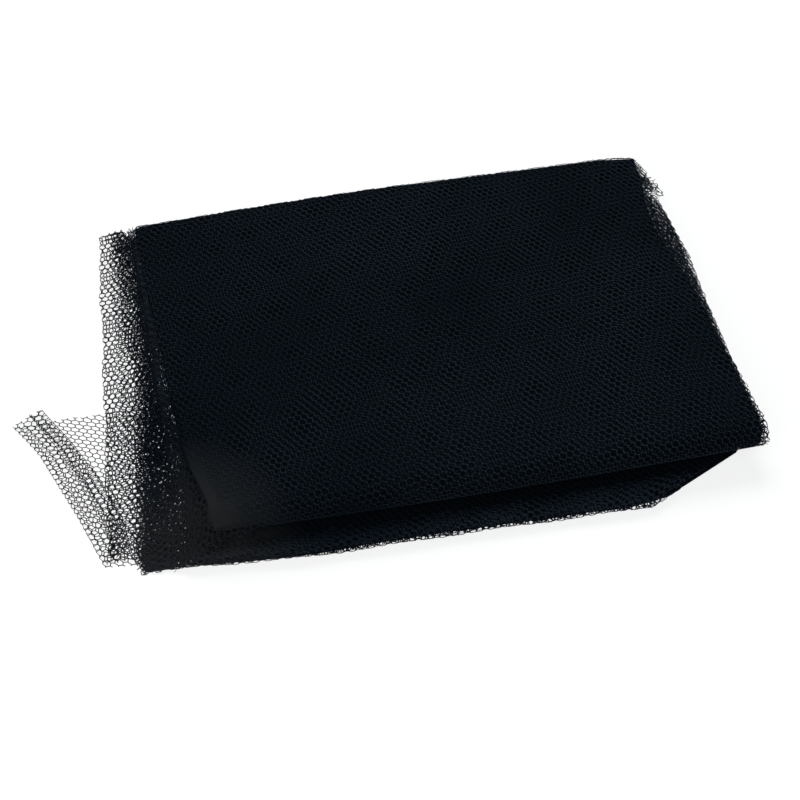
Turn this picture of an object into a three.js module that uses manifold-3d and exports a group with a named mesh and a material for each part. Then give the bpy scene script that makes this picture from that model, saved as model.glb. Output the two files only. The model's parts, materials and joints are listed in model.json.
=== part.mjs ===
// A window insect screen: one length of black hexagonal netting, folded flat into a packet.
//
// The net is 1.3 m wide and 1.5 m high. It is folded in eighths across its width, which gives a
// band of eight plies. The band is folded to and fro over itself into twelve layers, and those
// are folded in three, like a letter. One solid sheet follows the band through every fold.
//
// Units are millimetres. +X is along the long side of the packet, +Y is to the back, +Z is up.
import * as THREE from 'three';
import { mergeVertices } from 'three/addons/utils/BufferGeometryUtils.js';
import Module from 'manifold-3d';

// ---- driving dimensions -------------------------------------------------------------------
const BAND_THICKNESS = 1.15;   // eight plies of net lying together
const LAYER_PITCH = 1.5;       // height from one layer of the band to the next
const LAYERS = 12;
const RUN_STEPS = 4;           // facets along each straight run of the band
const WIDTH_STEPS = 12;        // facets across the band
const SIDE_REACH = 92;         // x at which the fold lines take their end values

// Where the fold lines lie in plan: y at the left end, y at the right end, and how far the
// middle bows beyond the straight line between them.
const FOLD_LINES = {
  topBack:  { left: 62.5, right: 63.5, bow: 1.5 },   // free ends of the upper third
  front:    { left: -51, right: -52, bow: -1.5 }, // roll that joins upper and middle thirds
  back:     { left: 60, right: 56, bow: 1.5 },      // roll that joins middle and lower thirds
  lowFront: { left: -59, right: -67, bow: -1.5 }, // folds along the front of the lower third
};
// The front right corner of the lower third is turned under along a diagonal.
const CORNER = { startX: 57, slope: Math.tan(THREE.MathUtils.degToRad(34)) };

// One row for each crease, in order along the band. turn is the height of the crease's centre,
// counted in layers; left and right are the x of the band's two side edges there.
const CREASES = [
  { line: 'topBack',  turn: 0,  left: -83,  right: 81.5 },  // the band starts here, on top
  { line: 'front',    turn: 8,  left: -70,  right: 91.5 },
  { line: 'back',     turn: 4,  left: -89,  right: 88 },
  { line: 'lowFront', turn: 3,  left: -95,  right: 84 },
  { line: 'back',     turn: 4,  left: -92,  right: 92 },
  { line: 'front',    turn: 8,  left: -75,  right: 90 },
  { line: 'topBack',  turn: 10, left: -85,  right: 87 },
  { line: 'front',    turn: 8,  left: -78,  right: 92.5 },
  { line: 'back',     turn: 4,  left: -96,  right: 90 },
  { line: 'lowFront', turn: 1,  left: -102, right: 86 },
  { line: 'back',     turn: 4,  left: -94,  right: 93 },
  { line: 'front',    turn: 8,  left: -82,  right: 89 },
  { line: 'topBack',  turn: 0,  left: -90,  right: 92 },    // and ends here, under the third layer
];

// How the packet has settled: the layers lie tighter near the edges and swell in the middle.
const EDGE_HEIGHT = 0.97;      // share of the height that is left at the edges
const SWELL = 0.05;            // extra share in the middle
const WAVE = 0.01;             // share by which long waves lift and lower the layers
const SETTLE_HALF = { x: 105, y: 75 };

// The loose end of the outermost ply sticks out at the left front. It is folded back over itself
// along a slanting line. One row for each station from its cut back edge to its front, with
// the points where the ply leaves the packet, where it folds, and where its upper leaf ends.
const FLAP_THICKNESS = 1.0;
const FLAP_GAP = 0.45;         // clear height between the two leaves
const FLAP_TURN_STEPS = 4;
const FLAP_LEAF_STEPS = 3;
const FLAP = [
  { rootX: -88, rootY: 1,   foldX: -128.5, foldY: 0.5,   lipX: -119.5, lipY: 5.5 },
  { rootX: -88, rootY: -6,  foldX: -125,   foldY: -5.5,  lipX: -116,   lipY: -1 },
  { rootX: -88, rootY: -13, foldX: -121.5, foldY: -12,   lipX: -112,   lipY: -8 },
  { rootX: -88, rootY: -22, foldX: -118.5, foldY: -20,   lipX: -109,   lipY: -14.5 },
  { rootX: -88, rootY: -31, foldX: -115.5, foldY: -28.5, lipX: -105,   lipY: -22.5 },
  { rootX: -88, rootY: -40, foldX: -112,   foldY: -38,   lipX: -104,   lipY: -32 },
  { rootX: -88, rootY: -49, foldX: -109,   foldY: -47,   lipX: -103.5, lipY: -42 },
  { rootX: -88, rootY: -56, foldX: -106.5, foldY: -54.5, lipX: -103.5, lipY: -50 },
];

const { lerp } = THREE.MathUtils;

// y of a fold line at x, with the turned-under corner on the front of the lower third
function foldLine(name, x) {
  const { left, right, bow } = FOLD_LINES[name];
  const across = x / SIDE_REACH;
  const straight = lerp(left, right, (across + 1) / 2);
  const corner = name === 'lowFront' ? CORNER.slope * Math.max(0, x - CORNER.startX) : 0;
  return straight + bow * (1 - across * across) + corner;
}

// Height of a level counted in layers; the underside of the lowest layer is at zero.
function levelHeight(level) {
  return level * LAYER_PITCH - (LAYER_PITCH - BAND_THICKNESS) / 2;
}

// Left edge along a run: straight, but in the upper third it curves in towards the front.
function leftEdge(from, to, t) {
  if (from.line === 'topBack') return lerp(from.left, to.left, t * t);
  if (to.line === 'topBack') return lerp(to.left, from.left, (1 - t) ** 2);
  return lerp(from.left, to.left, t);
}

// A station is one cross-line of the band: it gives y and z at any x, and the unit normal of the
// band's upper face as it was at the start.
function runStations(from, to, level, facing) {
  const stations = [];
  for (let step = 0; step < RUN_STEPS; step += 1) {
    const t = step / RUN_STEPS;
    stations.push({
      left: leftEdge(from, to, t),
      right: lerp(from.right, to.right, t),
      y: (x) => lerp(foldLine(from.line, x), foldLine(to.line, x), t),
      z: levelHeight(level),
      normal: [0, facing],
    });
  }
  return stations;
}

// A half turn about the crease, from one level to its mirror level.
function turnStations(crease, level, facing) {
  const side = crease.line === 'front' || crease.line === 'lowFront' ? -1 : 1;
  const rise = level - crease.turn;
  const radius = Math.abs(rise) * LAYER_PITCH;
  const steps = 4 + 2 * Math.round(Math.abs(rise));
  const outward = facing * Math.sign(rise);
  const stations = [];
  for (let step = 0; step < steps; step += 1) {
    const angle = (Math.PI * step) / steps;
    const out = side * Math.sin(angle);
    const up = Math.sign(rise) * Math.cos(angle);
    stations.push({
      left: crease.left,
      right: crease.right,
      y: (x) => foldLine(crease.line, x) + radius * out,
      z: levelHeight(crease.turn) + radius * up,
      normal: [outward * out, outward * up],
    });
  }
  return stations;
}

function bandStations() {
  const stations = [];
  let level = LAYERS - 0.5;
  let facing = 1;
  for (let i = 1; i < CREASES.length; i += 1) {
    const crease = CREASES[i];
    stations.push(...runStations(CREASES[i - 1], crease, level, facing));
    if (crease.turn > 0) {
      stations.push(...turnStations(crease, level, facing));
      level = 2 * crease.turn - level;
      facing = -facing;
    }
  }
  const end = CREASES[CREASES.length - 1];
  stations.push({
    left: end.left,
    right: end.right,
    y: (x) => foldLine(end.line, x),
    z: levelHeight(level),
    normal: [0, facing],
  });
  return stations;
}

// Heights are scaled by a smooth field, so layers keep their order and the underside stays flat.
function settle([x, y, z]) {
  const dome = (1 - (x / SETTLE_HALF.x) ** 2) * (1 - (y / SETTLE_HALF.y) ** 2);
  const wave = Math.sin(x / 17 + y / 31) + Math.sin(x / 41 - y / 19);
  return [x, y, z * (EDGE_HEIGHT + SWELL * Math.max(0, dome) + WAVE * wave)];
}

// Closes a grid of upper and lower points into one body. upper[r][c] and lower[r][c] face
// each other across the sheet; the rim is closed by walls.
function sheetBody(upper, lower) {
  const rows = upper.length;
  const columns = upper[0].length;
  const positions = [...upper.flat(), ...lower.flat()].flat();
  const indices = [];
  const top = (r, c) => r * columns + c;
  const bottom = (r, c) => rows * columns + r * columns + c;
  const quad = (a, b, c, d) => indices.push(a, b, c, a, c, d);
  for (let r = 0; r < rows - 1; r += 1) {
    for (let c = 0; c < columns - 1; c += 1) {
      quad(top(r, c), top(r + 1, c), top(r + 1, c + 1), top(r, c + 1));
      quad(bottom(r, c), bottom(r, c + 1), bottom(r + 1, c + 1), bottom(r + 1, c));
    }
    quad(top(r, 0), bottom(r, 0), bottom(r + 1, 0), top(r + 1, 0));
    quad(top(r, columns - 1), top(r + 1, columns - 1), bottom(r + 1, columns - 1), bottom(r, columns - 1));
  }
  for (let c = 0; c < columns - 1; c += 1) {
    quad(top(0, c), top(0, c + 1), bottom(0, c + 1), bottom(0, c));
    quad(top(rows - 1, c), bottom(rows - 1, c), bottom(rows - 1, c + 1), top(rows - 1, c + 1));
  }
  const geometry = new THREE.BufferGeometry();
  geometry.setAttribute('position', new THREE.Float32BufferAttribute(positions, 3));
  geometry.setIndex(indices);
  return geometry;
}

function bandGeometry() {
  const half = BAND_THICKNESS / 2;
  const face = (station, side) => {
    const points = [];
    for (let c = 0; c <= WIDTH_STEPS; c += 1) {
      const x = lerp(station.left, station.right, c / WIDTH_STEPS);
      const [ny, nz] = station.normal;
      points.push(settle([x, station.y(x) + side * half * ny, station.z + side * half * nz]));
    }
    return points;
  };
  const stations = bandStations();
  return sheetBody(stations.map((s) => face(s, 1)), stations.map((s) => face(s, -1)));
}

// One cross-line of the flap: out along the lower leaf, round the fold, back along the upper leaf
function flapLine(row) {
  const root = new THREE.Vector2(row.rootX, row.rootY);
  const fold = new THREE.Vector2(row.foldX, row.foldY);
  const lip = new THREE.Vector2(row.lipX, row.lipY);
  const half = FLAP_THICKNESS / 2;
  const radius = half + FLAP_GAP / 2;
  const outward = fold.clone().sub(root).normalize();
  const centre = fold.clone().addScaledVector(outward, -radius - half);
  const line = [];
  for (let step = 0; step < FLAP_LEAF_STEPS; step += 1) {
    line.push({ plan: root.clone().lerp(centre, step / FLAP_LEAF_STEPS), z: half, out: 0, up: -1 });
  }
  for (let step = 0; step <= FLAP_TURN_STEPS; step += 1) {
    const angle = (Math.PI * step) / FLAP_TURN_STEPS;
    const out = Math.sin(angle);
    const up = -Math.cos(angle);
    const plan = centre.clone().addScaledVector(outward, radius * out);
    line.push({ plan, z: half + radius * (1 + up), out, up });
  }
  for (let step = 1; step <= FLAP_LEAF_STEPS; step += 1) {
    const plan = centre.clone().lerp(lip, step / FLAP_LEAF_STEPS);
    line.push({ plan, z: half + 2 * radius, out: 0, up: 1 });
  }
  return line.map((point) => ({ ...point, outward }));
}

function flapGeometry() {
  const lines = FLAP.map(flapLine);
  const face = (line, side) => line.map(({ plan, z, out, up, outward }) => {
    const shift = (side * FLAP_THICKNESS) / 2;
    return [plan.x + shift * out * outward.x, plan.y + shift * out * outward.y, z + shift * up];
  });
  return sheetBody(lines.map((l) => face(l, 1)), lines.map((l) => face(l, -1)));
}

// ---- one solid of the band and its loose end ----------------------------------------------
const wasm = await Module();
wasm.setup();

function solidFrom(geometry) {
  const merged = mergeVertices(geometry, 1e-4);
  const vertProperties = new Float32Array(merged.attributes.position.array);
  const triVerts = new Uint32Array(merged.index.array);
  return new wasm.Manifold(new wasm.Mesh({ numProp: 3, vertProperties, triVerts }));
}

function geometryFrom(solid) {
  const mesh = solid.getMesh();
  const geometry = new THREE.BufferGeometry();
  geometry.setAttribute('position', new THREE.BufferAttribute(mesh.vertProperties, 3));
  geometry.setIndex(new THREE.BufferAttribute(mesh.triVerts, 1));
  geometry.computeVertexNormals();
  return geometry;
}

const geometry = geometryFrom(solidFrom(bandGeometry()).add(solidFrom(flapGeometry())));

// The origin is the middle of the box's underside.
geometry.computeBoundingBox();
const middle = geometry.boundingBox.getCenter(new THREE.Vector3());
geometry.translate(-middle.x, -middle.y, -geometry.boundingBox.min.z);

const blackNet = new THREE.MeshStandardMaterial({ color: 0x0e1216, roughness: 0.8, metalness: 0 });
blackNet.name = 'black knitted polyester net';
const foldedNet = new THREE.Mesh(geometry, blackNet);
foldedNet.name = 'folded_net';

const windowScreen = new THREE.Group();
windowScreen.name = 'window_insect_screen';
windowScreen.add(foldedNet);

export default windowScreen;
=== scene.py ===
"""Dresses the folded window insect screen with its black knitted netting, on a white floor."""

import json
import math
from collections import namedtuple
from functools import partial

import bpy
import numpy as np
from bpy.props import FloatProperty, FloatVectorProperty, PointerProperty
from bpy.types import Operator, Panel, PropertyGroup
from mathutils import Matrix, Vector

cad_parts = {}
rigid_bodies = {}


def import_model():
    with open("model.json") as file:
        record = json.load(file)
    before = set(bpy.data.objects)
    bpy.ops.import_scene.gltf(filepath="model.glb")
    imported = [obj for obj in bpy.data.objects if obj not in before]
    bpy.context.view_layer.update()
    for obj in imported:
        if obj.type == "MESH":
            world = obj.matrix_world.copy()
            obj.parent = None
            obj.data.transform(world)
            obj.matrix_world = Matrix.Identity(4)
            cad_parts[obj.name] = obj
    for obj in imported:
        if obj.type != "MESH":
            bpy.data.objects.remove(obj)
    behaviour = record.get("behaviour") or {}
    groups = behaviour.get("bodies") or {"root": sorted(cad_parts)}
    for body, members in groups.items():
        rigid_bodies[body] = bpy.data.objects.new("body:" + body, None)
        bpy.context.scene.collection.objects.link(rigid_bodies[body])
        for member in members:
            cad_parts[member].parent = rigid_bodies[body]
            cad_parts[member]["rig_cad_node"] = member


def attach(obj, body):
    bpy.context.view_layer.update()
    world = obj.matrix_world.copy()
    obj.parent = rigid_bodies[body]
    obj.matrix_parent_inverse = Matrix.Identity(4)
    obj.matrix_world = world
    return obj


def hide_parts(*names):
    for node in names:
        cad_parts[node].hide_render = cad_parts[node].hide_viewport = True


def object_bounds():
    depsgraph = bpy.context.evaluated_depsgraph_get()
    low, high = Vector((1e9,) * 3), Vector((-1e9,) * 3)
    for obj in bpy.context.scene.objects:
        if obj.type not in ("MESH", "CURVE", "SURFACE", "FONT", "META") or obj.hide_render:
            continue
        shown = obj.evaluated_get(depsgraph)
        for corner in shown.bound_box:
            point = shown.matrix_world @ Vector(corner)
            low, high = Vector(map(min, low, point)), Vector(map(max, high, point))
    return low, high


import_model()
CAD_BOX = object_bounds()

bl_info = {
    "name": "Folded window insect screen",
    "version": (1, 0, 0),
    "blender": (4, 5, 0),
    "location": "3D View > Sidebar > Insect Screen",
    "description": "Black hexagonal netting folded into a packet, ply by ply",
    "category": "Object",
}

MM = 0.001
CELL = 2.1 * MM   # distance between neighbouring cells of the net

# ---- the packet, in millimetres, about the packet's own middle ----
# The folds follow the solid's construction: twelve layers of a band of eight plies, folded in
# three. Heights are counted in layers from the underside.
LAYER_PITCH = 1.5
BAND_THICKNESS = 1.15
SIDE_REACH = 92.0
FoldLine = namedtuple("FoldLine", "left right bow")
FOLD_LINES = {
    "top_back": FoldLine(62.5, 63.5, 1.5),
    "front": FoldLine(-51.0, -52.0, -1.5),
    "back": FoldLine(60.0, 56.0, 1.5),
    "low_front": FoldLine(-59.0, -67.0, -1.5),
}
CORNER_X = 54.0
CORNER_SLOPE = math.tan(math.radians(26.5))
Dent = namedtuple("Dent", "depth middle width")
BELLY = Dent(1.7, -50.0, 35.0)   # the front's slight bulge at the left
BACK_CORNER = {"depth": 1.4, "start": 74.0, "length": 12.0}   # the back's rounding at the right
TOP_LEVEL = 11.5      # middle of the uppermost layer
ROLL_LEVEL = 8        # centre of the roll at the front, which joins the upper and middle thirds
ROLL_HEIGHT = (TOP_LEVEL - ROLL_LEVEL) * LAYER_PITCH   # of the band's middle over that centre
BACK_ROLL_LEVEL = 4   # centre of the roll at the back, which joins the middle and lower thirds
HEM_RADIUS = 0.6      # of the bend where the top plies turn down over the back, below the band
HEM_DROP = 6.5        # how far they reach down there
ROWS_UPPER = math.radians(9.5)    # the rows of cells slope across the panel in the top ply
ROWS_UNDER = math.radians(-1.0)   # and lie the other way in the ply folded back beneath it

# The solid's rightmost and frontmost points, which place the packet in the frame.
RIGHTMOST = 93.0
FRONTMOST = -67.67
ORIGIN = np.array([RIGHTMOST - CAD_BOX[1][0] / MM, FRONTMOST - CAD_BOX[0][1] / MM, 0.0])


def fold_line(name, x):
    """y of a fold line at x: straight, with a parabolic bow. The lower third's front line also
    has a bulge, shaped like a bell curve, and a turned-under corner, and the upper third's back
    line is rounded off at the right."""
    line = FOLD_LINES[name]
    across = x / SIDE_REACH
    y = line.left + (line.right - line.left) * (across + 1) / 2 + line.bow * (1 - across**2)
    if name == "low_front":
        y = y + CORNER_SLOPE * np.maximum(0, x - CORNER_X)
        y = y - bell(BELLY, x)
    if name == "top_back":
        y = y - BACK_CORNER["depth"] * smooth_step((x - BACK_CORNER["start"]) / BACK_CORNER["length"])
    return y


def level_height(level):
    """Height of a level counted in layers; the underside of the lowest layer is at zero."""
    return level * LAYER_PITCH - (LAYER_PITCH - BAND_THICKNESS) / 2


# Lines from the back to the front, as (y, x): where the upper third's plies end at either side,
# and where the plies of the lower thirds lie too thin at the left to block the light.
LEFT_CREST = [(64, -83.5), (32, -81.0), (-7, -79.0), (-31, -75.5), (-52, -70.0), (-64, -66.0)]
RIGHT_CREST = [(64, 84.0), (0, 86.0), (-40, 88.0), (-58, 90.0)]
LEFT_THINNING = [(66, -82.4), (39, -83.0), (-4, -81.8), (-43, -79.3), (-65, -79.0)]
# Values along the same way, as (y, value): how wide the slope beside the left crest is, how far
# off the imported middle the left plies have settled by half, and how they slump at the back.
LEFT_SLOPE = [(64, -5.0), (0, -8.0), (-30, -11.0), (-60, -13.0)]
LEFT_SLACK = [(76, 12.0), (60, 6.5), (30, 4.6), (-60, 4.2)]
RIGHT_SLACK = 10.0    # how far off the right plies have settled by half
BACK_SLUMP = [(76, 0.8), (66, 0.95), (62, 1.0)]
# What each third adds to the cover's height, their sum, and the roll's outline at the front as
# (distance ahead of its crease, share of the height). The roll is slack to the left of an x.
LOWER_RISE, MIDDLE_RISE, UPPER_RISE, COVER_TOP = 6.0, 6.1, 5.3, 17.4
ROLL_OUTLINE = [(10, 0.0), (7.5, 0.12), (6.2, 0.5), (5, 0.79), (3, 0.95), (0, 1.0)]
ROLL_SLACK_X = -62.0
DRAPE_X = -58.0       # left of this the top plies hang down over the slope and the roll
WALK_STEPS = 20


def line_at(stations, y):
    """The value at y of a line given as (y, value) with falling y, straight between them."""
    ys, values = np.array(stations[::-1], float).T
    return np.interp(y, ys, values)


def bell(dent, place):
    """A bell curve: the dent's depth at its middle, and 1/e of it at its width to either side."""
    return dent.depth * np.exp(-(((place - dent.middle) / dent.width) ** 2))


def side_sag(x, y):
    """How far the loose sides settle: 1 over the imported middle, and off the sides
    1 / (1 + (distance / half distance)^power)."""
    left = np.maximum(0, line_at(LEFT_THINNING, y) - x + 0.5) / line_at(LEFT_SLACK, y)
    right = np.maximum(0, x - line_at(RIGHT_CREST, y)) / RIGHT_SLACK
    return 1 / ((1 + left**1.6) * (1 + right**1.8))


def smooth_step(value):
    """Rises from 0 to 1 as the value does, level at both ends: 3 v^2 - 2 v^3."""
    share = np.clip(value, 0, 1)
    return share * share * (3 - 2 * share)


def cover_height(x, y):
    """Height of a cloth laid over the packet's left side: the lower third's layers, then the
    middle third's as far as the roll at the front, then the upper third's as far as its crest,
    all sagging to the side and slumping at the back."""
    past_crest = line_at(LEFT_CREST, y) - x
    ahead = fold_line("front", x) - y
    roll = line_at(ROLL_OUTLINE, ahead)
    draped = smooth_step((ROLL_SLACK_X - x) / 12)
    roll = roll + (1 - smooth_step(ahead / 12) - roll) * draped
    upper = UPPER_RISE * (1 - smooth_step(-past_crest / line_at(LEFT_SLOPE, y)))
    return side_sag(x, y) * line_at(BACK_SLUMP, y) * (LOWER_RISE + roll * (MIDDLE_RISE + upper))


def walk(x, y, length, heading, share):
    """Where one comes to after a length along the cover's slope, going along x or y as the
    heading (x, y) says: short steps, each shortened by the slope under it. Returns the x or y."""
    east, north = heading
    near_x, near_y = 0.1 * east, 0.1 * north
    for _ in range(WALK_STEPS):
        rise = cover_height(x + near_x, y + near_y) - cover_height(x - near_x, y - near_y)
        step = length / WALK_STEPS / np.sqrt(1 + (share * rise / 0.2) ** 2)
        x = x + east * step
        y = y + north * step
    return x if east else y


def settle(points):
    """Heights scaled by a smooth field: a low dome and two long waves, as in the solid."""
    x, y, z = points[..., 0], points[..., 1], points[..., 2]
    dome = np.maximum(0, (1 - (x / 105) ** 2) * (1 - (y / 75) ** 2))
    wave = np.sin(x / 17 + y / 31) + np.sin(x / 41 - y / 19)
    lifted = z * (0.97 + 0.05 * dome + 0.01 * wave)
    return np.stack([x, y, lifted], -1)


def to_frame(points):
    """Packet millimetres to metres in the frame."""
    return (settle(points) - ORIGIN) * MM


# ---- colours and nodes ----
def linear(hex_colour):
    """An sRGB hex colour as linear RGB with alpha 1."""
    parts = [int(hex_colour[i:i + 2], 16) / 255 for i in (1, 3, 5)]
    return [c / 12.92 if c <= 0.04045 else ((c + 0.055) / 1.055) ** 2.4 for c in parts] + [1.0]


def add_node(tree, kind, settings=None, links=None):
    """Adds a node, sets its attributes or inputs by name, and links its inputs to sockets, or to
    the first output of nodes."""
    node = tree.nodes.new("ShaderNode" + kind)
    for name, value in (settings or {}).items():
        if isinstance(name, int) or name in node.inputs:
            node.inputs[name].default_value = value
        else:
            setattr(node, name, value)
    for name, source in (links or {}).items():
        socket = source.outputs[0] if isinstance(source, bpy.types.Node) else source
        tree.links.new(socket, node.inputs[name])
    return node


def new_material(name):
    """A material without nodes, and add_node for its tree."""
    material = bpy.data.materials.new(name)
    material.use_nodes = True
    material.node_tree.nodes.clear()
    return material, partial(add_node, material.node_tree)


def painted_corner_sheen(add, place, colour):
    """A colour with a flat grey sheen painted over it at the front left corner: most within 12 mm of a
    point there, and none beyond 36 mm."""
    sheen_centre = (-0.066, -0.059, 0.004)
    away = add("VectorMath", {"operation": "DISTANCE", 1: sheen_centre}, {0: place})
    share = add("MapRange", {"From Min": 0.012, "From Max": 0.036, "To Min": 0.75, "To Max": 0.0},
                {"Value": away.outputs["Value"]})
    mixed = add("Mix", {"data_type": "RGBA", 7: linear("#2c2d2e")}, {"Factor": share, 6: colour})
    return mixed.outputs[2]


YARN_NAME = "black_polyester_yarn"


def yarn_material(settings):
    """Knitted polyester yarn, dyed black in the melt: matt, with a faint cool sheen on each rounded
    strand, and a highlight painted in its colour at the knots and, fainter, along the chains."""
    material, add = new_material(YARN_NAME)
    place = add("TexCoord").outputs["Object"]
    # strands differ from each other over about 1 mm, and patches of net over about 50 mm, in how strong
    # their painted highlight is
    twist = add("TexNoise", {"Scale": 900.0, "Detail": 2.0}, {"Vector": place})
    broad_noise = add("TexNoise", {"Scale": 20.0, "Detail": 3.0}, {"Vector": place})
    patches = add("MapRange", {"From Min": 0.3, "From Max": 0.7, "To Min": -0.15, "To Max": 1.15},
                  {"Value": broad_noise.outputs["Fac"]})
    both = add("Math", {"operation": "ADD"}, {0: twist.outputs["Fac"], 1: patches})
    # the ends run from 1 to -1 along each strand: their fourth power is high only at the knots, where the
    # highlight is painted
    ends = add("Attribute", {"attribute_name": "ends"}).outputs["Fac"]
    square = add("Math", {"operation": "MULTIPLY"}, {0: ends, 1: ends})
    knot_highlight = add("Math", {"operation": "MULTIPLY"}, {0: square, 1: square})
    # the strands that join up into chains have a loop more of yarn; a fainter highlight is painted along
    # their whole length
    chain = add("Attribute", {"attribute_name": "chain"}).outputs["Fac"]
    chain_highlight = add("Math", {"operation": "MULTIPLY", 1: 0.25}, {0: chain})
    lit = add("Math", {"operation": "MULTIPLY_ADD", 1: 0.7}, {0: knot_highlight, 2: chain_highlight})
    share = add("Math", {"operation": "MULTIPLY"}, {0: both, 1: lit})
    # painted highlight: the yarn's dark colour is mixed towards the light highlight colour at the knots
    # and along the chains
    colour = add("Mix", {"data_type": "RGBA", 6: settings.yarn_dark, 7: settings.yarn_painted_highlight},
                 {"Factor": share})
    # the base colour gets the grey sheen painted over the front left corner
    shader = add("BsdfPrincipled", {"Roughness": 0.5, "IOR": 1.5, "Specular IOR Level": 0.05,
                                    "Specular Tint": linear("#c2dcff")},
                 {"Base Color": painted_corner_sheen(add, place, colour.outputs[2])})
    add("OutputMaterial", links={"Surface": shader})
    return material


def hex_field(add, place, turn):
    """Height of a honeycomb of strands: minus the sum of three cosines whose waves run at 60
    degrees to each other, which is high along the strands and low in the cells. The first is the
    strongest, because the strands that lie along it join up into chains. The waves climb as they
    go north, so that upright faces at the front and back show a honeycomb too."""
    wave_number = 4 * math.pi / (math.sqrt(3) * CELL)
    total = None
    for step in range(3):
        angle = turn + math.radians(30 + 60 * step)
        east, north = wave_number * math.cos(angle), wave_number * math.sin(angle)
        along = add("VectorMath", {"operation": "DOT_PRODUCT", 1: (east, north, north)}, {0: place})
        cosine = add("Math", {"operation": "COSINE"}, {0: along.outputs["Value"]})
        ripple = add("Math", {"operation": "MULTIPLY", 1: 0.9 if step else 1.2}, {0: cosine})
        total = add("Math", {"operation": "ADD"}, {0: total, 1: ripple}) if step else ripple
    return add("Math", {"operation": "MULTIPLY", 1: -1.0}, {0: total})


def packed_net_material(settings):
    """Many plies of black net pressed together: almost no light comes back from the cells, and
    the strands of the uppermost ply show as a faint honeycomb."""
    material, add = new_material("packed_black_netting")
    even = add("TexCoord").outputs["Object"]
    # the plies beneath lie a little uneven, by about a millimetre over 20 mm
    waver = add("TexNoise", {"Scale": 50.0, "Detail": 0.0}, {"Vector": even})
    shift = add("VectorMath", {"operation": "SCALE", "Scale": 0.004}, {0: waver.outputs["Color"]})
    place = add("VectorMath", {"operation": "ADD"}, {0: even, 1: shift})
    strands = add("MapRange", {"From Min": 0.8, "From Max": 1.1},
                  {"Value": hex_field(add, place, ROWS_UPPER)})
    colour = add("Mix", {"data_type": "RGBA", 6: settings.cell_black, 7: settings.packed_light},
                 {"Factor": strands})
    bump = add("Bump", {"Strength": 0.6, "Distance": 0.0002}, {"Height": strands})
    # the base colour gets the grey sheen painted over the front left corner
    shader = add("BsdfPrincipled", {"Roughness": 0.85, "IOR": 1.5, "Specular IOR Level": 0.01},
                 {"Base Color": painted_corner_sheen(add, even, colour.outputs[2]), "Normal": bump})
    add("OutputMaterial", links={"Surface": shader})
    return material


def floor_material(settings):
    """Plain white board. Seen straight on it is mostly its own white, so it stays white through
    the net, and a share of it takes light and so holds the packet's soft shadow."""
    material, add = new_material("white_board")
    board = add("BsdfDiffuse", {"Color": settings.floor_colour})
    glow = add("Emission", {"Color": (1, 1, 1, 1), "Strength": 1.05})
    path = add("LightPath")
    seen = add("Math", {"operation": "MULTIPLY", 1: 1 - settings.shadow_share},
               {0: path.outputs["Is Camera Ray"]})
    mix = add("MixShader", links={0: seen, 1: board, 2: glow})
    add("OutputMaterial", links={"Surface": mix})
    return material


# ---- meshes ----
def link(thing):
    bpy.context.scene.collection.objects.link(thing)


def mesh_piece(name, points, quads, material, ends=None, chain=None):
    """One piece from packet points and quads, riding on the packet's body. For the yarn's painted
    highlight the ends, if given, are 1 at one end of each strand and -1 at the other, and the chain tells
    the quads that belong to a chain of yarn, both scaled by the strength of that highlight."""
    mesh = bpy.data.meshes.new(name)
    mesh.vertices.add(len(points))
    mesh.vertices.foreach_set("co", to_frame(points).ravel())
    mesh.loops.add(quads.size)
    mesh.loops.foreach_set("vertex_index", quads.ravel())
    mesh.polygons.add(len(quads))
    mesh.polygons.foreach_set("loop_start", np.arange(0, quads.size, 4))
    mesh.polygons.foreach_set("use_smooth", np.full(len(quads), ends is not None))
    mesh.update(calc_edges=True)
    if ends is not None:
        mesh.attributes.new("ends", "FLOAT", "POINT").data.foreach_set("value", ends)
        mesh.attributes.new("chain", "FLOAT", "FACE").data.foreach_set("value", chain)
    mesh.validate()
    mesh.materials.append(material)
    piece = bpy.data.objects.new(name, mesh)
    link(piece)
    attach(piece, "root")
    return piece


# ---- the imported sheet: the whole net as one folded sheet ----
# One row for each crease, in order along the band: its line, the height of its centre in layers,
# the x of the band's side edges there, where the plies lie so thick that no light passes, and
# how far the run after it starts beyond the line.
Crease = namedtuple("Crease", "line turn left right beyond", defaults=(0.0,))
CREASES = [
    Crease("top_back", 0, -82.9, 84.8, 0.45),
    Crease("front", 8, -73.5, 88.3),
    Crease("back", 4, -80.0, 79.5),
    Crease("low_front", 3, -80.5, 83.5),
    Crease("back", 4, -79.5, 80.5),
    Crease("front", 8, -74.5, 88.7),
    Crease("top_back", 10, -82.3, 84.2),
    Crease("front", 8, -74.0, 88.3),
    Crease("back", 4, -80.0, 80.0),
    Crease("low_front", 1, -81.0, 84.5),
    Crease("back", 4, -80.5, 81.0),
    Crease("front", 8, -74.5, 88.7),
    Crease("top_back", 0, -82.5, 84.6),
]
# A line across the band, at a share of the way between two fold lines, with an added y, a height,
# the y and z of the band's normal and the x of its side edges.
Station = namedtuple("Station", "start end share added height normal_y normal_z left right")
PLIES = 8
PLY_PITCH = 0.11
PLY_THICKNESS = 0.07
RUN_STEPS = 5         # cross-lines along a run, twice as many in the upper third
WIDTH_STEPS = 13
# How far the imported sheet's front line stands back from the lower third's, as (x, distance) with
# falling x, and the hollows of the upper third's right edge and of all the plies' left edges.
DECK_BACK = [(84, -0.2), (49, 0.2), (44, 1.3), (30, 1.3), (26, 0.7), (18, 1.2), (-35, 1.4), (-45, 0.5),
             (-66, 0.4)]
HOLLOW = Dent(3.6, 29.0, 18.0)
LEFT_HOLLOW = Dent(2.4, 4.0, 32.0)


def packed_line(name, x):
    """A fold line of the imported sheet. At the front of the lower third it stands back where
    only loose plies reach the edge."""
    if name != "low_front":
        return fold_line(name, x)
    return fold_line(name, x) + line_at(DECK_BACK, x)


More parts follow.
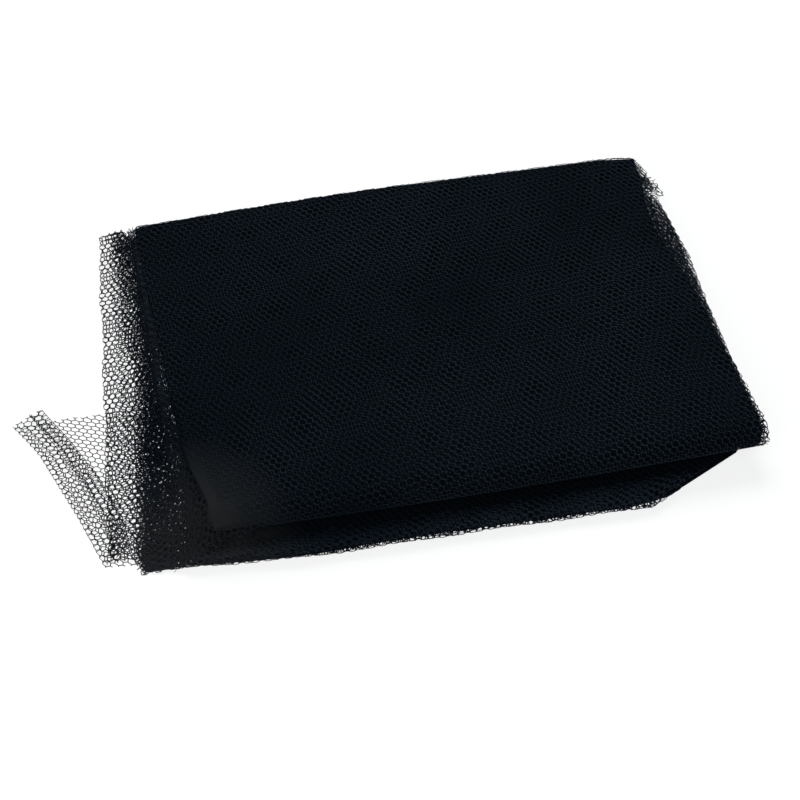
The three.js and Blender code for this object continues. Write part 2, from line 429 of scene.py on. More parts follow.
def between(start, end, t, x):
    """y at x of a cross-line that lies at the share t of the way between two creases."""
    return (1 - t) * fold_line(start.line, x) + t * fold_line(end.line, x)


def left_edge(start, end, t):
    """Left edge along a run: it curves in to the front roll by the fourth power of the way."""
    if end.line == "front":
        return start.left + (end.left - start.left) * t**4
    if start.line == "front":
        return end.left + (start.left - end.left) * (1 - t) ** 4
    return start.left + (end.left - start.left) * t


def band_stations():
    """The band's cross-lines in order: those of each run, and those round the crease after it."""
    rows = []
    level = TOP_LEVEL
    facing = 1.0
    for start, end in zip(CREASES, CREASES[1:]):
        upper = "top_back" in (start.line, end.line)
        steps = RUN_STEPS * (2 if upper else 1)
        for t in np.arange(steps) / steps:
            right = start.right + (end.right - start.right) * t
            left = left_edge(start, end, t)
            left += bell(LEFT_HOLLOW, between(start, end, t, left))
            if upper:
                front, rear, near = (end, start, t) if end.line == "front" else (start, end, 1 - t)
                right = rear.right + (front.right - rear.right) * near**2
                right -= bell(HOLLOW, between(start, end, t, right))
            rows.append(Station(start.line, end.line, t, start.beyond * (1 - t),
                                level_height(level), 0.0, facing, left, right))
        if end.turn:
            side = -1 if "front" in end.line else 1
            rise = level - end.turn
            radius = abs(rise) * LAYER_PITCH
            outward = facing * np.sign(rise)
            steps = 4 + 2 * round(abs(rise))
            for angle in np.pi * np.arange(steps) / steps:
                out = side * math.sin(angle)
                up = np.sign(rise) * math.cos(angle)
                rows.append(Station(end.line, end.line, 0.0, radius * out,
                                    level_height(end.turn) + radius * up,
                                    outward * out, outward * up, end.left, end.right))
            level = 2 * end.turn - level
            facing = -facing
    rows.append(Station(end.line, end.line, 0.0, 0.0, level_height(level), 0.0, facing,
                        end.left, end.right))
    return rows


def packed_sheet():
    """The net as one closed thin sheet: across the band it goes to and fro in eight plies, each
    a straight line of x at its own offset along the band's normal, joined by side folds; along
    the band it follows the cross-lines. Returns points and quads."""
    rows = band_stations()
    count = len(rows)
    rng = np.random.default_rng(7)
    steps = np.arange(count)[:, None]
    # side folds join plies in pairs, so each fold has its own wavering reach along the band
    reach = rng.uniform(-0.9, 0.9, (2, 5))
    sway = rng.uniform(0, 2 * np.pi, (2, 5))
    column = {name: np.array(values)[:, None] for name, values in zip(Station._fields, zip(*rows))}
    left = column["left"] + reach[0] + 0.5 * np.sin(steps / 4 + sway[0])
    right = column["right"] + reach[1] + 0.5 * np.sin(steps / 3 + sway[1])
    share = np.linspace(0, 1, WIDTH_STEPS + 1)
    across = []
    for ply in range(PLIES):
        low, high = left[:, [(ply + 1) // 2]], right[:, [ply // 2]]
        across.append(low + (high - low) * (share[::-1] if ply % 2 else share))
    x = np.concatenate(across, 1)
    ply = np.repeat(np.arange(PLIES), len(share))
    offset = (ply - (PLIES - 1) / 2) * PLY_PITCH
    flip = 1.0 - 2.0 * (ply % 2)
    y = np.stack([(1 - r.share) * packed_line(r.start, line) + r.share * packed_line(r.end, line) + r.added
                  for r, line in zip(rows, x)])
    normal = np.array([[0.0, r.normal_y, r.normal_z] for r in rows])[:, None, :]
    middle = np.stack([x, y, column["height"] + 0 * x], -1)
    middle = middle + normal * offset[None, :, None]
    half = PLY_THICKNESS / 2 * flip[None, :, None] * normal
    middle[..., 2] *= side_sag(middle[..., 0], middle[..., 1])
    return closed_grid(middle + half, middle - half)


def closed_grid(upper, lower):
    """Closes two grids of points that face each other into one body. Returns points, quads."""
    rows, columns = upper.shape[:2]
    top = np.arange(rows * columns).reshape(rows, columns)
    bottom = top + rows * columns
    faces = []
    for grid, turned in ((top, False), (bottom, True)):
        corners = [grid[:-1, :-1], grid[1:, :-1], grid[1:, 1:], grid[:-1, 1:]]
        if turned:
            corners = [corners[k] for k in (0, 3, 2, 1)]
        faces.append(np.stack(corners, -1).reshape(-1, 4))
    for edge, turned in ((0, False), (-1, True)):
        side = [top[:-1, edge], bottom[:-1, edge], bottom[1:, edge], top[1:, edge]]
        end = [top[edge, :-1], top[edge, 1:], bottom[edge, 1:], bottom[edge, :-1]]
        for wall in (side, end):
            faces.append(np.stack(wall[::-1] if turned else wall, -1))
    return np.concatenate([upper.reshape(-1, 3), lower.reshape(-1, 3)]), np.concatenate(faces)


# ---- net plies ----
# A flat net: its nodes, the heading of each node's first strand, the strands as rows of lower
# node, upper node and slot, and whether each node is inside the rectangle asked for.
Net = namedtuple("Net", "nodes heading strands inside")


def honeycomb(low, high, turn, seed, cell):
    """The net over a rectangle, in flat millimetres. Cells lie at i*(cell, 0) +
    j*(cell/2, cell*sqrt(3)/2), turned by an angle. Each lower node has an upper node
    cell/sqrt(3) above it, and a strand to the upper nodes of its three neighbours. The nodes
    waver smoothly and by chance, because knitting is never quite even."""
    rng = np.random.default_rng(seed)
    low, high = np.array(low, float), np.array(high, float)
    middle = (low + high) / 2
    radius = np.hypot(*(high - low)) / 2 + 2 * cell
    count = int(radius / cell * 1.2) + 2
    i, j = np.meshgrid(np.arange(-count, count + 1), np.arange(-count, count + 1), indexing="ij")
    lower = np.stack([(i + j / 2) * cell, j * cell * math.sqrt(3) / 2], -1)
    upper = lower + [0, cell / math.sqrt(3)]
    cos, sin = math.cos(turn), math.sin(turn)
    spin = np.array([[cos, sin], [-sin, cos]])
    shift = rng.uniform(-cell / 2, cell / 2, 2)
    nodes = np.concatenate([lower.reshape(-1, 2), upper.reshape(-1, 2)]) @ spin + middle + shift
    heading = np.repeat([math.pi / 2 + turn, 3 * math.pi / 2 + turn], i.size)
    number = np.arange(i.size).reshape(i.shape)
    # slot 0: the node above; slot 1: the upper node of (i, j-1); slot 2: that of (i+1, j-1)
    neighbours = ((number, number), (number[:, 1:], number[:, :-1]), (number[:-1, 1:], number[1:, :-1]))
    strands = np.concatenate([np.stack([from_lower, to_upper + i.size, 0 * from_lower + slot], -1)
                              .reshape(-1, 3) for slot, (from_lower, to_upper) in enumerate(neighbours)])
    phase = rng.uniform(0, 2 * np.pi, 4)
    a, b = nodes[:, 0], nodes[:, 1]
    waver = 0.5 * np.stack([np.sin(b / 9 + phase[0]) + np.sin(a / 14 + phase[1]),
                             np.sin(a / 11 + phase[2]) + np.sin(b / 16 + phase[3])], -1)
    nodes = nodes + waver + rng.normal(0, 0.06, nodes.shape)
    return Net(nodes, heading, strands, ((nodes >= low) & (nodes <= high)).all(1))


def net_ply(net, keep, place, yarn, stub=0.0):
    """A ply of net as one closed mesh. Each node is a top, a bottom and three side points, the
    side points on the bisectors between its strands; each strand is four quads between the
    points of its two nodes, and a strand that is cut off leaves a small end face.
    place(a, b) takes flat millimetres to packet points. Stub is the share of its length that
    sticks out of a strand cut by the ply's edge. Returns points, quads, for each point
    whether it belongs to a lower node (1) or an upper one (-1), and for each quad whether it
    is part of a chain: two of the three strands at a node join up into chains of yarn."""
    nodes, heading, strands, _ = net
    kept = keep[strands[:, :2]]
    if stub:
        cut = strands[kept[:, 0] != kept[:, 1]]
        rows, outer = np.arange(len(cut)), np.where(keep[cut[:, 0]], 1, 0)
        inner_node, outer_node = cut[rows, 1 - outer], cut[rows, outer]
        tips = nodes[inner_node] + stub * (nodes[outer_node] - nodes[inner_node])
        cut[rows, outer] = len(nodes) + rows
        nodes = np.concatenate([nodes, tips])
        heading = np.concatenate([heading, heading[outer_node]])
        strands = np.concatenate([strands[kept.all(1)], cut])
    else:
        strands = strands[kept.all(1)]
    used = np.unique(strands[:, :2])
    renumber = np.full(len(nodes), -1)
    renumber[used] = np.arange(len(used))
    first, second, slot = renumber[strands[:, 0]], renumber[strands[:, 1]], strands[:, 2]
    facing = heading[used]
    a, b = nodes[used].T
    step = 0.02
    here = place(a, b)
    along_a = (place(a + step, b) - here) / step
    along_b = (place(a, b + step) - here) / step
    normal = np.cross(along_a, along_b)
    normal /= np.linalg.norm(normal, axis=1, keepdims=True)
    points = np.empty((len(used), 5, 3))
    points[:, 0] = here + normal * yarn.height / 2
    points[:, 1] = here - normal * yarn.height / 2
    for sector in range(3):
        angle = facing + math.radians(60 + 120 * sector)
        out = np.cos(angle)[:, None] * along_a + np.sin(angle)[:, None] * along_b
        out /= np.linalg.norm(out, axis=1, keepdims=True)
        points[:, 2 + sector] = here + out * yarn.width / math.sqrt(3)
    top, bottom, top2, bottom2 = first * 5, first * 5 + 1, second * 5, second * 5 + 1
    left, right = 2 + slot, 2 + (slot + 2) % 3
    ahead, behind, ahead2, behind2 = top + left, top + right, top2 + right, top2 + left
    quads = [
        np.stack([top, top2, ahead2, ahead], -1),
        np.stack([top, behind, behind2, top2], -1),
        np.stack([bottom, ahead, ahead2, bottom2], -1),
        np.stack([bottom, bottom2, behind2, behind], -1),
    ]
    joined = np.zeros((len(used), 3), bool)
    joined[first, slot] = True
    joined[second, slot] = True
    node, cut = np.nonzero(~joined)
    node = node * 5
    quads.append(np.stack([node, node + 2 + (cut + 2) % 3, node + 1, node + 2 + cut], -1))
    ends = np.cos(facing - heading[0])
    chain = np.concatenate([np.tile(slot != 1, 4), np.zeros(len(node), bool)])
    return points.reshape(-1, 3), np.concatenate(quads), np.repeat(ends, 5), chain


def around_fold(distance, radius):
    """A ply folded flat: for a signed distance along it from the fold, how far in from the
    fold's outer line it lies and how high: a half circle, then a flat leaf on either side."""
    angle = np.clip(distance / radius, -np.pi / 2, np.pi / 2)
    inward = radius * (1 - np.cos(angle)) + np.maximum(0, np.abs(distance) - radius * np.pi / 2)
    return inward, radius * np.sin(angle)


def over_and_round(x, s, start, end, centre, radius, side):
    """A ply that lies on a run and goes round its crease. s is the distance from the start
    line: it runs level to the end line, then round a circle about the crease."""
    run = np.abs(start - end)
    angle = np.maximum(0, s - run) / radius
    y = start + side * np.minimum(s, run) + side * radius * np.sin(angle)
    return np.stack([x, y, centre + radius * np.cos(angle)], -1)


def ragged(along, long, short, phase):
    """The wavering of a folded edge: a long wave and a short one of half its height."""
    return 0.3 * np.sin(along / long + phase) + 0.15 * np.sin(along / short + phase)


def roof_place(offset):
    """Upper third at an offset above the band's middle: round the fold at the back, over the
    run and round the front roll. b is 0 at the back line and falls to the front."""
    roll = ROLL_HEIGHT + offset
    hem = HEM_RADIUS + offset
    top = level_height(ROLL_LEVEL) + roll

    def place(a, b):
        s = np.maximum(0, -b)
        back, front = fold_line("top_back", a), fold_line("front", a)
        points = over_and_round(a, s, back, front, level_height(ROLL_LEVEL), roll, -1)
        points[..., 2] *= side_sag(a, points[..., 1])
        # at the left the ply goes down over the slope, and at the corner down to the deck
        y = back - np.minimum(s, back - front)
        crest = line_at(LEFT_CREST, y)
        x = walk(crest, y, np.maximum(0, crest - a), (-1, 0), 1) + np.maximum(0, a - crest)
        y = walk(x, y, np.maximum(0, s - back + front), (0, -1), 1)
        draped = np.stack([x, y, cover_height(x, y) * top / COVER_TOP], -1)
        share = smooth_step((DRAPE_X - a) / 8)[:, None]
        points = points + (draped - points) * share
        angle = np.clip(b / hem, 0, np.pi / 2)
        points[..., 1] += hem * np.sin(angle)
        points[..., 2] -= hem * (1 - np.cos(angle)) + np.maximum(0, b - hem * np.pi / 2)
        points[..., 2] = np.maximum(points[..., 2], 0.3)
        return points
    return place, roll


# Side edges of the top plies, as (y, x), and how far they reach round the roll: as an angle, and
# at the left, where it is slack, as a length.
ROOF_LEFT = [(64, -86.0), (30, -86.0), (0, -87.0), (-30, -90.5), (-50, -93.0), (-60, -95.0)]
ROOF_RIGHT = [(64, 85.3), (60, 87.6), (52, 88.6), (50, 89.6), (47, 87.6), (43, 87.2), (38, 89.6),
              (28, 90.0), (16, 89.4), (7, 89.2), (-2, 89.0), (-20, 89.4), (-46, 90.2), (-52, 91.2)]
ROLL_TURN = math.radians(165)
DRAPED_REACH = 12.6
ROLL_BULGE = 0.6     # how far the side edges swell out where they go round the roll


def roof_keep(net, inset, roll):
    """Nodes of the roof between its side edges: the left one lies down the slope beyond the
    crest, and the right one runs out to the tip."""
    a, s = net.nodes[:, 0], -net.nodes[:, 1]
    back = fold_line("top_back", a)
    run = back - fold_line("front", a)
    y = back - np.minimum(s, run)
    angle = np.clip((s - run) / roll, 0, np.pi)
    left = line_at(ROOF_LEFT, y) + inset
    right = line_at(ROOF_RIGHT, y) + ROLL_BULGE * np.sin(angle) - inset + 0.3 * np.sin(s / 5)
    under = np.where(a < DRAPE_X, DRAPED_REACH - inset, roll * ROLL_TURN)
    return net.inside & (a > left) & (a < right) & (s - run < under) & (s > -HEM_DROP)


# ---- settings ----
Yarn = namedtuple("Yarn", "cell width height")   # in millimetres


def length(name, description, default, **limits):
    return FloatProperty(name=name, description=description, default=default, unit="LENGTH",
                         precision=5, **limits)


def colour(name, description, hex_colour):
    return FloatVectorProperty(name=name, description=description, subtype="COLOR", size=4,
                               default=linear(hex_colour))


def number(name, description, default, **limits):
    return FloatProperty(name=name, description=description, default=default, **limits)


class NettingProperties(PropertyGroup):
    cell: length("Cell width", "Distance between neighbouring cells of the net", CELL, min=1.0 * MM)
    loose_width: length("Loose strand width", "Width of a strand where the net lies loose", 0.35 * MM)
    folded_width: length("Folded strand width", "Width of a strand beside a fold", 0.30 * MM)
    taut_width: length("Taut strand width", "Width of a strand where the net is taut", 0.15 * MM)
    strand_height: length("Strand height", "Thickness of a strand of the net", 0.2 * MM)
    yarn_dark: colour("Yarn, dark", "Yarn in its darkest strands", "#0c131b")
    # the colour of the highlight painted on the yarn at its knots and along its chains
    yarn_painted_highlight: colour("Yarn, light", "Yarn in its lightest strands", "#37424b")


class PackedProperties(PropertyGroup):
    cell_black: colour("Depth of the cells", "Colour deep between the strands", "#04080c")
    packed_light: colour("Packed strands", "Strands of the packed plies", "#0d1319")


class StageProperties(PropertyGroup):
    floor_colour: colour("Floor", "Colour of the floor", "#fafafa")
    shadow_share: number("Shadow share", "How much of the floor takes shadow", 0.25, min=0, max=1)
    elevation: number("Camera elevation", "Camera's angle above the floor", math.radians(50),
                      subtype="ANGLE")
    azimuth: number("Camera azimuth", "Camera's turn about the packet", math.radians(-11.5),
                    subtype="ANGLE")
    distance: length("Camera distance", "From the camera to the point it looks at", 0.528)
    lens: number("Focal length", "Lens of the camera in millimetres", 78.3)
    key_power: number("Key lamp", "Power of the lamp behind, in watts", 6.0)
    fill_power: number("Fill lamp", "Power of the lamp at the left, in watts", 5.0)


def yarn_settings(kind):
    """The yarn and its cells where the net is loose, folded or taut."""
    settings = bpy.context.scene.netting
    width = getattr(settings, kind + "_width")
    return Yarn(settings.cell / MM, width / MM, settings.strand_height / MM)


def net_piece(name, ply, painted_highlight=0.5):
    """A ply of net in black yarn. The painted highlight, from 0 to 1, is how strongly a highlight is
    painted at its knots and along the chains between them."""
    points, quads, ends, chain = ply
    material = bpy.data.materials.get(YARN_NAME) or yarn_material(bpy.context.scene.netting)
    return mesh_piece(name, points, quads, material, ends * painted_highlight, chain * painted_highlight**4)


# ---- operators ----
class SCREEN_OT_packed_sheet(Operator):
    """Lay the whole net as one folded sheet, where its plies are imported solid"""
    bl_idname = "screen.packed_sheet"
    bl_label = "Packed sheet"

    def execute(self, context):
        material = packed_net_material(context.scene.packed)
        sheet = mesh_piece("packed_net_sheet", *packed_sheet(), material)
        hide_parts("folded_net")
        return {"FINISHED"}


class SCREEN_OT_roof_plies(Operator):
    """Lay the two uppermost plies over the upper third and round its front roll"""
    bl_idname = "screen.roof_plies"
    bl_label = "Top plies"

    def execute(self, context):
        yarn = yarn_settings("taut")
        # the last number of each row is the strength of its painted highlight, weaker in the second ply,
        # which lies in the top ply's shade
        for name, turn, offset, inset, seed, painted_highlight in (("top_ply", ROWS_UPPER, 0.72, 0.0, 11, 1.0),
                                                       ("second_ply", ROWS_UNDER, 0.54, 0.7, 12, 0.8)):
            place, roll = roof_place(offset)
            net = honeycomb((-96, -134), (95, 9), turn, seed, yarn.cell)
            net_piece(name, net_ply(net, roof_keep(net, inset, roll), place, yarn), painted_highlight)
        return {"FINISHED"}


class SCREEN_OT_under_ply(Operator):
    """Lay the lowest ply, on which the packet rests"""
    bl_idname = "screen.under_ply"
    bl_label = "Lowest ply"

    def execute(self, context):
        yarn = yarn_settings("folded")
        net = honeycomb((-100, -70), (94, 64), ROWS_UPPER, 21, yarn.cell)
        x, y = net.nodes.T
        front = fold_line("low_front", x) - 0.2
        share = (y - front) / (fold_line("back", x) - front)
        # from x -93 to 86 at the front, and from -84 to 92 at the back
        keep = net.inside & (y > front) & (share < 1.03) & (x > -93 + 9 * share) & (x < 86 + 6 * share)

        def place(a, b):
            return np.stack([a, b, 0 * a + yarn.height * 0.55], -1)

        net_piece("lowest_ply", net_ply(net, keep, place, yarn))
        return {"FINISHED"}


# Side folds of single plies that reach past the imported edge. One row for each: its height as a
# share of the packet's upper surface there, the y at its two ends, the x that its leaves reach in
# to, the x of its folded edge at even stations from the back to the front, and its leaves.
SideFold = namedtuple("SideFold", "share back front inner edge leaves", defaults=(2,))
LEFT_FOLDS = [
    SideFold(0.35, 78.0, -55.5, -83, (-95.7, -98.6, -101.8, -105.0)),
    SideFold(0.45, 77.5, -58.0, -80, (-93.0, -94.4, -95.8, -98.5), 1),
    SideFold(0.50, 77.0, -58.0, -76, (-91.2, -91.5, -90.9, -94.1, -97.0)),
    SideFold(0.60, 76.0, -60.0, -74.5, (-90.3, -89.4, -89.3, -92.9, -97.0)),
    SideFold(0.70, 76.0, -61.5, -74.5, (-87.8, -86.9, -88.0, -91.5, -96.3)),
    SideFold(0.80, 75.0, -61.5, -74.5, (-85.6, -86.9, -87.4, -91.0, -95.8)),
    SideFold(0.92, 74.0, -61.5, -72, (-84.9, -85.6, -86.2, -89.8, -95.2)),
]
RIGHT_FOLDS = [
    SideFold(0.92, 47.0, -54.0, 83, (88.6, 91.8, 90.0, 89.6, 91.0)),
    SideFold(0.76, 49.0, -53.0, 83, (89.8, 93.2, 91.4, 90.8, 91.6)),
    SideFold(0.55, 59.0, -52.0, 83, (87.6, 92.4, 91.6, 91.6, 92.2)),
    SideFold(0.30, 60.0, -48.0, 83, (88.4, 92.0, 92.2, 91.8, 91.8)),
    SideFold(0.75, 59.5, 50.5, 85, (89.8, 94.4, 94.0, 89.8)),
]
# Plies folded over along the right side of the upper third: how far below the top ply each lies,
# and how far its fold stands in from the top ply's edge. In the hollow each stands further in.
ROOF_FOLDS = [(0.45, 0.0), (1.0, 0.2), (1.8, 0.5), (2.8, 0.9)]
ROOF_FOLD_HOLLOW = Dent(3.2, 39.0, 18.0)
FOLD_RADIUS = 0.28


def roof_fold(depth, inset, yarn, seed):
    """A ply folded over along the right side of the upper third, which goes round the front
    roll with it. Flat a is the distance from the fold, above it for positive a and below for
    negative; flat b falls from 0 at the back line along the run and round the roll."""
    top_radius = ROLL_HEIGHT + 0.5
    front, back = fold_line("front", 88.0), fold_line("top_back", 84.0)

    def place(a, b):
        inward, lift = around_fold(a, FOLD_RADIUS)
        s = -b
        past = s - back + front
        edge = line_at(ROOF_RIGHT, back - s) + ROLL_BULGE * np.sin(np.clip(past / top_radius, 0, np.pi))
        edge = edge - inset - depth * bell(ROOF_FOLD_HOLLOW, back - s)
        x = edge + ragged(s, 7, 2.6, seed) - inward
        points = over_and_round(x, s, back, front, level_height(ROLL_LEVEL), top_radius - depth, -1)
        # the two leaves lie on either side of the ply's own middle
        angle = np.clip(past / (top_radius - depth), 0, np.pi)
        points[..., 1] -= lift * np.sin(angle)
        points[..., 2] += lift * np.cos(angle)
        points[..., 2] *= side_sag(x, points[..., 1])
        return points

    net = honeycomb((-11, -130), (11, -1), fold_turn(seed), seed, yarn.cell)
    keep = net.inside & (place(*net.nodes.T)[:, 0] > 82)
    return net_ply(net, keep, place, yarn)


def fold_turn(seed):
    """The turn of the rows of cells in a side fold, a little more for each fold."""
    return math.radians(2 + 3.1 * (seed % 10))


def side_fold(row, side, yarn, seed):
    """A ply folded over along the packet's side. Flat a is the distance from the fold, above
    it for positive a and below for negative; flat b is y."""
    edges = np.array(row.edge)[::-1]
    stations = np.linspace(row.front, row.back, len(edges))
    reach = np.abs(edges - row.inner).max() * 1.15 + 1.0
    stack = level_height(TOP_LEVEL) + 0.6

    def place(a, b):
        inward, lift = around_fold(a, FOLD_RADIUS)
        edge = np.interp(b, stations, edges) + ragged(b, 6, 2.3, seed * 1.7)
        if side < 0:
            x = walk(edge, b, inward, (1, 0), row.share)
            z = cover_height(x, b) * row.share
        else:
            x = edge - inward
            z = stack * side_sag(x, b) * row.share
        return np.stack([x, b, np.maximum(yarn.height / 2, z + lift)], -1)

    net = honeycomb((-reach, row.front), (reach, row.back), side * fold_turn(seed), seed, yarn.cell)
    x = place(*net.nodes.T)[:, 0]
    keep = net.inside & (side * (x - row.inner) > 0)
    if side < 0:
        # the leaves' back edges come forward on the way in, clear of the packet's back line
        keep &= net.nodes[:, 1] < np.interp(x, (-88, -82), (row.back, 64.5))
    if row.leaves == 1:
        keep &= net.nodes[:, 0] > 0
    return net_ply(net, keep, place, yarn)


class SCREEN_OT_left_folds(Operator):
    """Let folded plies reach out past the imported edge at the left"""
    bl_idname = "screen.left_folds"
    bl_label = "Left side folds"

    def execute(self, context):
        for count, row in enumerate(LEFT_FOLDS, 1):
            yarn = yarn_settings("loose" if count <= 3 else "folded")
            net_piece(f"left_fold_{count}", side_fold(row, -1, yarn, 30 + count))
        return {"FINISHED"}


class SCREEN_OT_right_folds(Operator):
    """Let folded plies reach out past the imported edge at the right"""
    bl_idname = "screen.right_folds"
    bl_label = "Right side folds"

    def execute(self, context):
        yarn = yarn_settings("folded")
        for count, row in enumerate(RIGHT_FOLDS, 1):
            net_piece(f"right_fold_{count}", side_fold(row, 1, yarn, 50 + count))
        for count, (depth, inset) in enumerate(ROOF_FOLDS, 1):
            net_piece(f"roof_fold_{count}", roof_fold(depth, inset, yarn, 60 + count))
        return {"FINISHED"}


# Plies folded round the front of the lower third. One row for each: the height of the crease's
# centre in layers, the radius there, and how far it stands back from the front line.
FrontFold = namedtuple("FrontFold", "level radius back")
FRONT_FOLDS = [
    FrontFold(3, 1.52, 0.0),
    FrontFold(3, 1.34, 0.5),
    FrontFold(3, 1.16, 0.1),
    FrontFold(3, 0.60, 0.4),
    FrontFold(1, 1.30, 0.2),
    FrontFold(1, 0.80, -0.2),
]
DECK_DEPTH = 12.5
ROLL_REACH = 5.5     # how far the roll at the front stands out beyond its crease


def front_fold(row, yarn, seed):
    """A ply folded round the front edge. Flat a is x; flat b is the distance from the fold,
    above it for positive b and below for negative."""
    def place(a, b):
        inward, lift = around_fold(b, row.radius)
        y = fold_line("low_front", a) - row.radius + row.back + inward + 0.25 * np.sin(a / 5 + seed)
        z = (level_height(row.level) + lift) * side_sag(a, y)
        return np.stack([a, y, np.maximum(yarn.height / 2, z)], -1)

    turn = ROWS_UPPER + math.radians(7) * (seed % 10 - 1)
    net = honeycomb((-98, -DECK_DEPTH), (86, DECK_DEPTH), turn, seed, yarn.cell)
    a, b = net.nodes.T
    # its ends slant a little, and its lower leaf is 6 mm deep
    keep = net.inside & (a > -96.0 + 0.12 * np.abs(b)) & (a < 84 - 0.2 * np.abs(b)) & (b > -6.0)
    # from where the roll overhangs the deck the plies end, so that the darker imported sheet stands for
    # them there and paints the shade under the roll
    overhang = fold_line("front", a) - ROLL_REACH - fold_line("low_front", a)
    keep &= b < np.where(a < ROLL_SLACK_X, DECK_DEPTH, overhang)
    return net_ply(net, keep, place, yarn)


class SCREEN_OT_front_folds(Operator):
    """Fold single plies round the front edge of the lower third"""
    bl_idname = "screen.front_folds"
    bl_label = "Front folds"

    def execute(self, context):
        yarn = yarn_settings("loose")
        for count, row in enumerate(FRONT_FOLDS, 1):
            # the deck's plies get a weaker painted highlight
            net_piece(f"front_fold_{count}", front_fold(row, yarn, 70 + count), painted_highlight=0.8)
        return {"FINISHED"}


class SCREEN_OT_back_ply(Operator):
    """Fold the outermost ply round the roll at the back"""
    bl_idname = "screen.back_ply"
    bl_label = "Back ply"

    def execute(self, context):
        yarn = yarn_settings("folded")
        radius = (BACK_ROLL_LEVEL - 0.5) * LAYER_PITCH + 0.6
        run = 6.0     # how far forward of the roll the ply begins
        half_round = math.pi * radius

        def place(a, b):
            line = fold_line("back", a)
            return over_and_round(a, b, line - run, line, level_height(BACK_ROLL_LEVEL), radius, 1)

        net = honeycomb((-94, 1), (93, run + half_round + 2), ROWS_UNDER, 81, yarn.cell)
        a, b = net.nodes.T
        keep = net.inside & (a > -93 + 0.2 * b) & (a < 91.5) & (b < run + half_round * 0.92)
        net_piece("back_ply", net_ply(net, keep, place, yarn))
        return {"FINISHED"}


# The loose end, as in the solid: one row for each station from its cut back edge to its front,
# with the y where the ply leaves the packet, and the points where it folds and where its upper
# leaf ends.
FLAP_ROOT_X = -88.0
FLAP = np.array([
    (1.0, -128.5, 0.5, -119.5, 5.5),
    (-6.0, -125.0, -5.5, -116.0, -1.0),
    (-13.0, -121.5, -12.0, -112.0, -8.0),
    (-22.0, -118.5, -20.0, -109.0, -14.5),
    (-31.0, -115.5, -28.5, -105.0, -22.5),
    (-40.0, -112.0, -38.0, -101.5, -32.0),
    (-49.0, -109.0, -47.0, -99.0, -42.0),
    (-58.0, -106.3, -56.0, -98.0, -51.0),
])
TURNED_EDGE = 1.3     # how far the loose end's cut edge is turned in


def crowd(a, middle):
    """Flat distances with the cells drawn together at a crease, by a bell curve of the distance."""
    off = a - middle
    return a - 0.75 * off * np.exp(-(off**2))


def flap_place():
    """The loose end. Flat b is the distance along its fold from the front to the back, and flat
    a the distance from the fold: the lower leaf for negative a, the upper one for positive a,
    folded back at the lip and turned forward once more at its cut edge."""
    root_y, fold, lip = FLAP[::-1, 0], FLAP[::-1, 1:3], FLAP[::-1, 3:5]
    root = np.stack([0 * root_y + FLAP_ROOT_X, root_y], -1)
    along = np.concatenate([[0], np.cumsum(np.linalg.norm(np.diff(fold, axis=0), axis=1))])

    def leaf_and_hem(b):
        return np.interp(b, along, np.linalg.norm(lip - fold, axis=1)), 6.3 - 1.8 * b / along[-1]

    def place(a, b):
        # past the stations the rows go on in the same direction
        extra = (b - np.clip(b, 0, along[-1]))[:, None] * (fold[-1] - fold[-2]) / along[1]
        here, base, edge = [np.stack([np.interp(b, along, x), np.interp(b, along, y)], -1) + extra
                            for x, y in (fold.T, root.T, lip.T)]
        leaf, hem = leaf_and_hem(b)
        a = crowd(crowd(a, leaf), leaf + hem)
        lower, lower_lift = around_fold(a, FOLD_RADIUS)
        middle, middle_lift = around_fold(a - leaf, FOLD_RADIUS)
        upper, upper_lift = around_fold(a - leaf - hem, FOLD_RADIUS)
        cases = [a < leaf / 2, a < leaf + hem / 2]
        out = np.select(cases, [lower, leaf - middle], leaf - hem + upper)
        height = FOLD_RADIUS * np.select(cases, [1.0, 3.0], 5.0)
        height = height + np.select(cases, [lower_lift, middle_lift], upper_lift)
        toward = np.where((a < 0)[:, None], base - here, edge - here)
        toward = toward / np.linalg.norm(toward, axis=1, keepdims=True)
        plan = here + toward * out[:, None]
        return np.concatenate([plan, (0.12 + height)[:, None]], 1)

    def within(nodes):
        a, b = nodes.T
        leaf, hem = leaf_and_hem(b)
        return (b < along[-1] + 0.6) & (a < leaf + hem + TURNED_EDGE)

    return place, within


class SCREEN_OT_loose_end(Operator):
    """Fold back the loose end of the outermost ply at the left front"""
    bl_idname = "screen.loose_end"
    bl_label = "Loose end"

    def execute(self, context):
        yarn = yarn_settings("folded")
        place, within = flap_place()
        net = honeycomb((-42, 0), (23, 65), math.radians(90), 91, yarn.cell)
        net_piece("loose_end", net_ply(net, net.inside & within(net.nodes), place, yarn, stub=0.6))
        return {"FINISHED"}


FLOOR_REACH = 6.0
# The lamps, large and plain: the size of each and its place, in metres.
LAMPS = {"key": ((0.6, 0.4), (0.06, 0.47, 0.8)), "fill": ((0.7, 0.7), (-0.35, -0.6, 0.7))}
AIM = np.array([-12.0, -19.0, 9.0])   # the point of the packet that the camera looks at


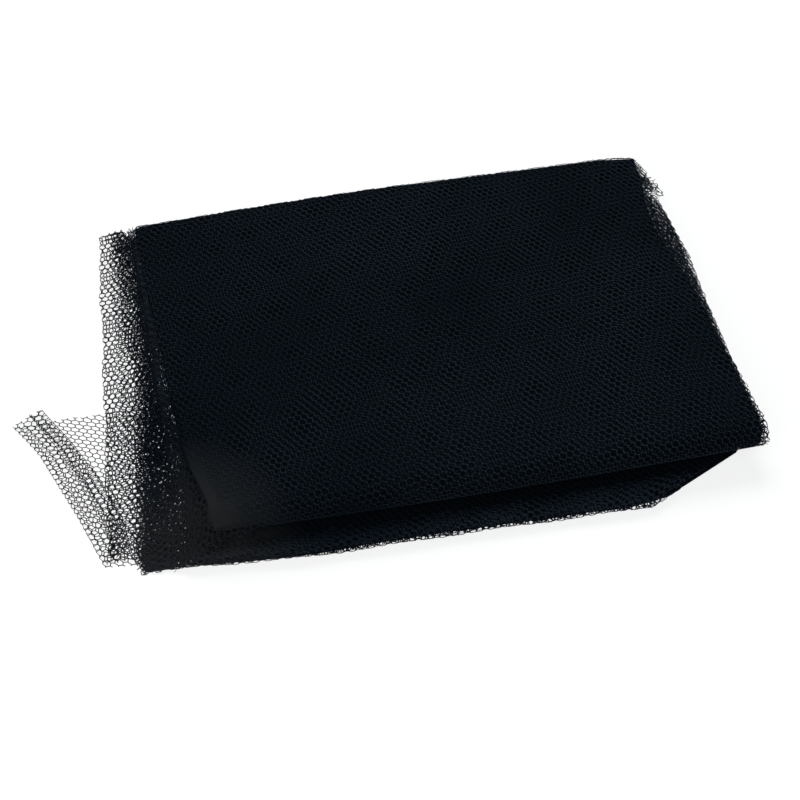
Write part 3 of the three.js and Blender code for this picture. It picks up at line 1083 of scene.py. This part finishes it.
class SCREEN_OT_stage(Operator):
    """Set up the white floor, the soft lamps and the camera"""
    bl_idname = "screen.stage"
    bl_label = "Stage"

    def execute(self, context):
        settings = context.scene.stage
        mesh = bpy.data.meshes.new("floor")
        corners = [(FLOOR_REACH * x, FLOOR_REACH * y, 0) for x, y in ((-1, -1), (1, -1), (1, 1), (-1, 1))]
        mesh.from_pydata(corners, [], [(0, 1, 2, 3)])
        mesh.materials.append(floor_material(settings))
        floor = bpy.data.objects.new("floor", mesh)
        link(floor)

        world = bpy.data.worlds.new("white_surroundings")
        world.use_nodes = True
        background = world.node_tree.nodes["Background"].inputs
        background["Color"].default_value = linear("#d8ecff")
        background["Strength"].default_value = 0.15
        context.scene.world = world

        for name, (size, place) in LAMPS.items():
            lamp = bpy.data.lights.new(name, "AREA")
            lamp.shape = "RECTANGLE"
            lamp.size, lamp.size_y = size
            lamp.energy = getattr(settings, name + "_power")
            holder = bpy.data.objects.new(name, lamp)
            holder.location = place
            holder.rotation_euler = (-holder.location).to_track_quat("-Z", "Y").to_euler()
            link(holder)

        level = math.cos(settings.elevation)
        back = Vector((math.sin(settings.azimuth) * level, -math.cos(settings.azimuth) * level,
                       math.sin(settings.elevation)))
        camera = bpy.data.objects.new("camera", bpy.data.cameras.new("camera"))
        camera.location = Vector((AIM - ORIGIN) * MM) + back * settings.distance
        camera.rotation_euler = (-back).to_track_quat("-Z", "Y").to_euler()
        camera.data.sensor_width = 36.0
        camera.data.lens = settings.lens
        link(camera)
        context.scene.camera = camera
        context.scene.view_settings.view_transform = "Standard"
        return {"FINISHED"}


PIECE_OPERATORS = (
    SCREEN_OT_packed_sheet,
    SCREEN_OT_roof_plies,
    SCREEN_OT_under_ply,
    SCREEN_OT_left_folds,
    SCREEN_OT_right_folds,
    SCREEN_OT_front_folds,
    SCREEN_OT_back_ply,
    SCREEN_OT_loose_end,
    SCREEN_OT_stage,
)


class SCREEN_PT_sidebar(Panel):
    """The pieces of the insect screen and their settings"""
    bl_idname = "SCREEN_PT_sidebar"
    bl_label = "Insect Screen"
    bl_space_type = "VIEW_3D"
    bl_region_type = "UI"
    bl_category = "Insect Screen"

    def draw(self, context):
        for group, properties in PROPERTY_GROUPS.items():
            box = self.layout.box()
            for name in properties.__annotations__:
                box.prop(getattr(context.scene, group), name)
        for operator in PIECE_OPERATORS:
            self.layout.operator(operator.bl_idname)


PROPERTY_GROUPS = {"netting": NettingProperties, "packed": PackedProperties, "stage": StageProperties}
CLASSES = (*PROPERTY_GROUPS.values(), *PIECE_OPERATORS, SCREEN_PT_sidebar)


def register():
    for cls in CLASSES:
        bpy.utils.register_class(cls)
    for name, properties in PROPERTY_GROUPS.items():
        setattr(bpy.types.Scene, name, PointerProperty(type=properties))


def unregister():
    for name in PROPERTY_GROUPS:
        delattr(bpy.types.Scene, name)
    for cls in reversed(CLASSES):
        bpy.utils.unregister_class(cls)


def main():
    register()
    for operator in PIECE_OPERATORS:
        group, name = operator.bl_idname.split(".")
        getattr(getattr(bpy.ops, group), name)()


if __name__ == "__main__":
    main()
